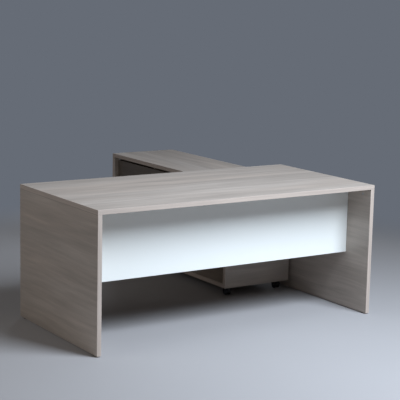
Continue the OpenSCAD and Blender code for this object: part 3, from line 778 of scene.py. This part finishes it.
class DESK_OT_studio(bpy.types.Operator):
    """Sets up the paper floor, the even fill light, the three soft lights and the camera"""

    bl_idname = "desk.studio"
    bl_label = "Studio"

    def execute(self, context):
        scene = context.scene
        self.lay_paper(scene)
        self.light_evenly(scene)
        self.hang_lights(scene)
        self.stand_camera(scene)
        scene.view_settings.view_transform = "Standard"
        return {"FINISHED"}

    @staticmethod
    def lay_paper(scene):
        """Lays a wide sheet on the floor, whose paper fades into the backdrop on all sides."""
        mesh = bmesh.new()
        bmesh.ops.create_grid(mesh, x_segments=1, y_segments=1, size=FLOOR_HALF)
        data = bpy.data.meshes.new("paper_floor")
        mesh.to_mesh(data)
        mesh.free()
        data.materials.append(studio_paper())
        paper = bpy.data.objects.new("paper_floor", data)
        scene.collection.objects.link(paper)

    @staticmethod
    def light_evenly(scene):
        """Lights the object evenly from all sides, while the camera sees the backdrop."""
        settings = studio()
        world = bpy.data.worlds.new("studio_air")
        scene.world = world
        world.use_nodes = True
        tree = world.node_tree
        tree.nodes.clear()
        air = add(tree, "ShaderNodeBackground",
                  {"Color": settings.fill_colour, "Strength": settings.fill})
        backdrop = add(tree, "ShaderNodeBackground", {"Color": settings.backdrop})
        seen = add(tree, "ShaderNodeMixShader",
                   links={0: seen_directly(tree), 1: air.outputs[0], 2: backdrop.outputs[0]})
        add(tree, "ShaderNodeOutputWorld", links={"Surface": seen.outputs[0]})

    def hang_lights(self, scene):
        """Hangs the key light and the two weaker lights that lift its shadows."""
        settings = studio()
        self.hang_light(scene, "key_soft_box", size=(2.0, 2.1), power=settings.key_power,
                        colour="#E5F1FF", place=settings.key_place, target=(0.0, -1.3, 0.0),
                        fan=math.radians(140))
        self.hang_light(scene, "left_reflector", size=(1.8, 1.4), power=settings.reflector_power,
                        colour="#FFFFFF", place=(-3.3, -0.5, 2.1), target=(-0.9, -0.6, 0.3),
                        fan=math.radians(180))
        # Lower than the credenza's top, so that no top gets its light, and narrow, so that
        # little of it passes under the credenza
        self.hang_light(scene, "rear_reflector", size=(0.8, 0.22), power=settings.rear_power,
                        colour="#F0F6FF", place=(2.1, 3.6, 0.58), target=(0.0, -0.2, 0.4),
                        fan=math.radians(180))

    @staticmethod
    def hang_light(scene, name, size, power, colour, place, target, fan):
        """Hangs a rectangular soft light that faces its target and fans out by an angle."""
        lamp = bpy.data.lights.new(name, "AREA")
        lamp.shape = "RECTANGLE"
        lamp.size, lamp.size_y = size
        lamp.energy = power
        lamp.spread = fan
        lamp.color = linear(colour)[:3]
        box = bpy.data.objects.new(name, lamp)
        box.visible_camera = False
        place = Vector(place)
        facing = (Vector(target) - place).to_track_quat("-Z", "Y")
        box.matrix_world = Matrix.Translation(place) @ facing.to_matrix().to_4x4()
        scene.collection.objects.link(box)

    @staticmethod
    def stand_camera(scene):
        """Stands the camera where it sees the desk from the photo's viewing angle."""
        settings = studio()
        lens = bpy.data.cameras.new("camera")
        lens.sensor_width = SENSOR_WIDTH_MM
        lens.lens = settings.focal_length
        camera = bpy.data.objects.new("camera", lens)
        turn = Matrix.Rotation(settings.camera_turn, 4, "Z")
        tilt = Matrix.Rotation(math.pi / 2 - settings.camera_rise, 4, "X")
        roll = Matrix.Rotation(settings.camera_roll, 4, "Z")
        camera.matrix_world = Matrix.Translation(settings.camera_place) @ turn @ tilt @ roll
        scene.collection.objects.link(camera)
        scene.camera = camera


class DESK_OT_desk_boards(bpy.types.Operator):
    """Gives the desktop and the end panels their laminate and their rounded edge bands"""

    bl_idname = "desk.desk_boards"
    bl_label = "Desk boards"

    def execute(self, context):
        dress("desktop", laminate(*DESK_BOARDS["desktop"]))
        # The end panels get painted shade, with some dust, just under the desktop
        joint_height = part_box("desktop")[0].z
        for panel in ("left_end_panel", "right_end_panel"):
            dress(panel, laminate(*DESK_BOARDS[panel], joint_height))
        band_piece("desktop_edge_bands")
        band_piece("end_panel_edge_bands")
        return {"FINISHED"}


class DESK_OT_modesty_panel(bpy.types.Operator):
    """Lacquers the modesty panel"""

    bl_idname = "desk.modesty_panel"
    bl_label = "Modesty panel"

    def execute(self, context):
        soften("modesty_panel", "white_lacquer", white_lacquer(), sizes().panel_radius, long_edge)
        return {"FINISHED"}


class DESK_OT_fittings(bpy.types.Operator):
    """Finishes the dowels, cam fittings, shelf supports, pivots and glides"""

    bl_idname = "desk.fittings"
    bl_label = "Fittings"

    def execute(self, context):
        fine = sizes().fine_radius
        for node in ("desk_dowels", "credenza_dowels"):
            dress(node, beech("z"))
        for node in ("desk_cam_bolts", "credenza_cam_bolts"):
            dress(node, zinc_plate())
        for node in ("desk_cam_locks", "credenza_cam_locks"):
            soften(node, "zinc", zinc_plate(), fine)
        soften("shelf_supports", "steel", zinc_plate(), fine)
        soften("door_pivot_pins", "steel", zinc_plate())
        soften("door_pivot_bushes", "black_plastic", black_plastic(), fine)
        soften("floor_glides", "black_plastic", black_plastic(), sizes().glide_radius)
        return {"FINISHED"}


class DESK_OT_carcass(bpy.types.Operator):
    """Gives the credenza's boards their laminate and their rounded edge bands"""

    bl_idname = "desk.carcass"
    bl_label = "Credenza carcass"

    def execute(self, context):
        for board, (axis, cut) in CREDENZA_BOARDS.items():
            dress(board, laminate(axis, cut))
        band_piece("credenza_top_edge_bands")
        band_piece("carcass_edge_bands")
        return {"FINISHED"}


class DESK_OT_fronts(bpy.types.Operator):
    """Finishes the door and the drawer fronts in a dark tone that is painted shade"""

    bl_idname = "desk.fronts"
    bl_label = "Door and drawer fronts"

    def execute(self, context):
        for front, cut in FRONT_CUTS.items():
            front_piece(front, cut)
        return {"FINISHED"}


class DESK_OT_drawer_boxes(bpy.types.Operator):
    """Finishes the drawer boxes and their runners"""

    bl_idname = "desk.drawer_boxes"
    bl_label = "Drawer boxes and runners"

    def execute(self, context):
        for drawer in DRAWERS:
            soften(f"{drawer}_drawer_box", "drawer_board", drawer_board(), sizes().box_radius)
            dress(f"{drawer}_drawer_bottom", drawer_board())
            for channels in (f"{drawer}_drawer_runners", f"{drawer}_runner_carriers"):
                soften(channels, "steel", zinc_plate())
        soften("fixed_runners", "steel", zinc_plate())
        return {"FINISHED"}


class DESK_OT_castors(bpy.types.Operator):
    """Finishes the castors"""

    bl_idname = "desk.castors"
    bl_label = "Castors"

    def execute(self, context):
        soften("castor_plates", "steel", zinc_plate())
        soften("castor_screws", "steel", zinc_plate())
        for castor in CASTORS:
            self.hood(f"{castor}_castor_housing")
            soften(f"{castor}_castor_wheels", "castor_plastic", black_plastic())
            soften(f"{castor}_castor_axle", "steel", zinc_plate())
        return {"FINISHED"}

    @staticmethod
    def hood(node):
        """Rounds the sides of a castor's hood, over the outer faces of its wheels."""
        low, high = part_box(node)

        def at_side(edge):
            return all(on_side(v.co.x, low.x, high.x) for v in edge.verts)

        soften(node, "black_plastic", black_plastic(), sizes().hood_radius, at_side)


OPERATORS = (
    DESK_OT_studio,
    DESK_OT_desk_boards,
    DESK_OT_modesty_panel,
    DESK_OT_fittings,
    DESK_OT_carcass,
    DESK_OT_fronts,
    DESK_OT_drawer_boxes,
    DESK_OT_castors,
)
GROUPS = (DESK_PG_finishes, DESK_PG_sizes, DESK_PG_studio)


class DESK_PT_panel(bpy.types.Panel):
    """Lists the parts of the desk and the sizes and colours that can be changed"""

    bl_label = "Desk with credenza"
    bl_space_type = "VIEW_3D"
    bl_region_type = "UI"
    bl_category = "Desk"

    def draw(self, context):
        column = self.layout.column()
        for operator in OPERATORS:
            column.operator(operator.bl_idname)
        for settings in (finishes(), sizes(), studio()):
            for name in settings.__annotations__:
                column.prop(settings, name)


def register():
    """Registers the classes and hangs the settings on the scene."""
    for kind in (*GROUPS, *OPERATORS, DESK_PT_panel):
        bpy.utils.register_class(kind)
    bpy.types.Scene.desk_finishes = bpy.props.PointerProperty(type=DESK_PG_finishes)
    bpy.types.Scene.desk_sizes = bpy.props.PointerProperty(type=DESK_PG_sizes)
    bpy.types.Scene.desk_studio = bpy.props.PointerProperty(type=DESK_PG_studio)


def unregister():
    """Takes the settings and the classes away again."""
    del bpy.types.Scene.desk_studio
    del bpy.types.Scene.desk_sizes
    del bpy.types.Scene.desk_finishes
    for kind in reversed((*GROUPS, *OPERATORS, DESK_PT_panel)):
        bpy.utils.unregister_class(kind)


def main():
    register()
    bpy.ops.desk.studio()
    bpy.ops.desk.desk_boards()
    bpy.ops.desk.modesty_panel()
    bpy.ops.desk.fittings()
    bpy.ops.desk.carcass()
    bpy.ops.desk.fronts()
    bpy.ops.desk.drawer_boxes()
    bpy.ops.desk.castors()


if __name__ == "__main__":
    main()
